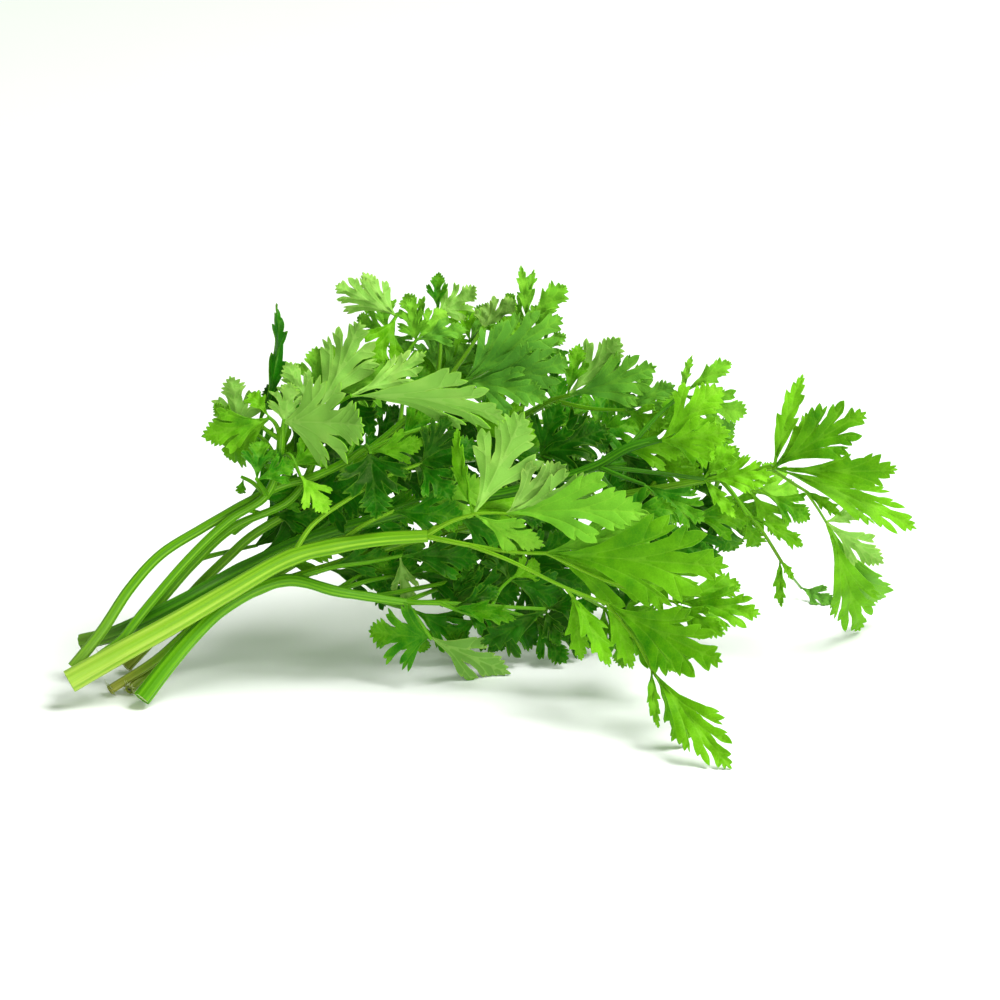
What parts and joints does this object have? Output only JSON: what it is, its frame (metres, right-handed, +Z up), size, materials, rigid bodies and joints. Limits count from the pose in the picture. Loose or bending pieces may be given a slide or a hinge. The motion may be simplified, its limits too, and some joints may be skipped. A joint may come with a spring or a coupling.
{
  "type": "parsley bunch",
  "caption": "Bunch of fresh flat-leaf parsley lying on its side, with bare cut stalks at one end and lobed leaves spreading and drooping at the other.",
  "frame": {"origin": "on the surface that the bunch lies on, under the middle of its bounding box", "axes": "+X from the cut stalk ends towards the leaves, +Z up, -Y the side that the drooping front leaves reach to"},
  "size_m": [0.2389, 0.1486, 0.1064],
  "materials": {
    "leaf": "fresh green leaf, satin above and pale and matt below, with fine veins",
    "stalk": "juicy green stalk with fine lengthwise ribs and pale cut ends",
    "brown_stalk": "green stalk tinged pinkish brown, with fine lengthwise ribs"
  },
  "bodies": {
    "root": {"main_sprig": "leaf", "low_sprig": "leaf", "arching_sprig": "leaf", "left_sprig": "leaf", "slender_sprig": "leaf", "brown_sprig": "brown_stalk", "dark_sprig": "stalk", "back_sprig": "leaf", "right_sprig": "leaf"}
  },
  "joints": []
}
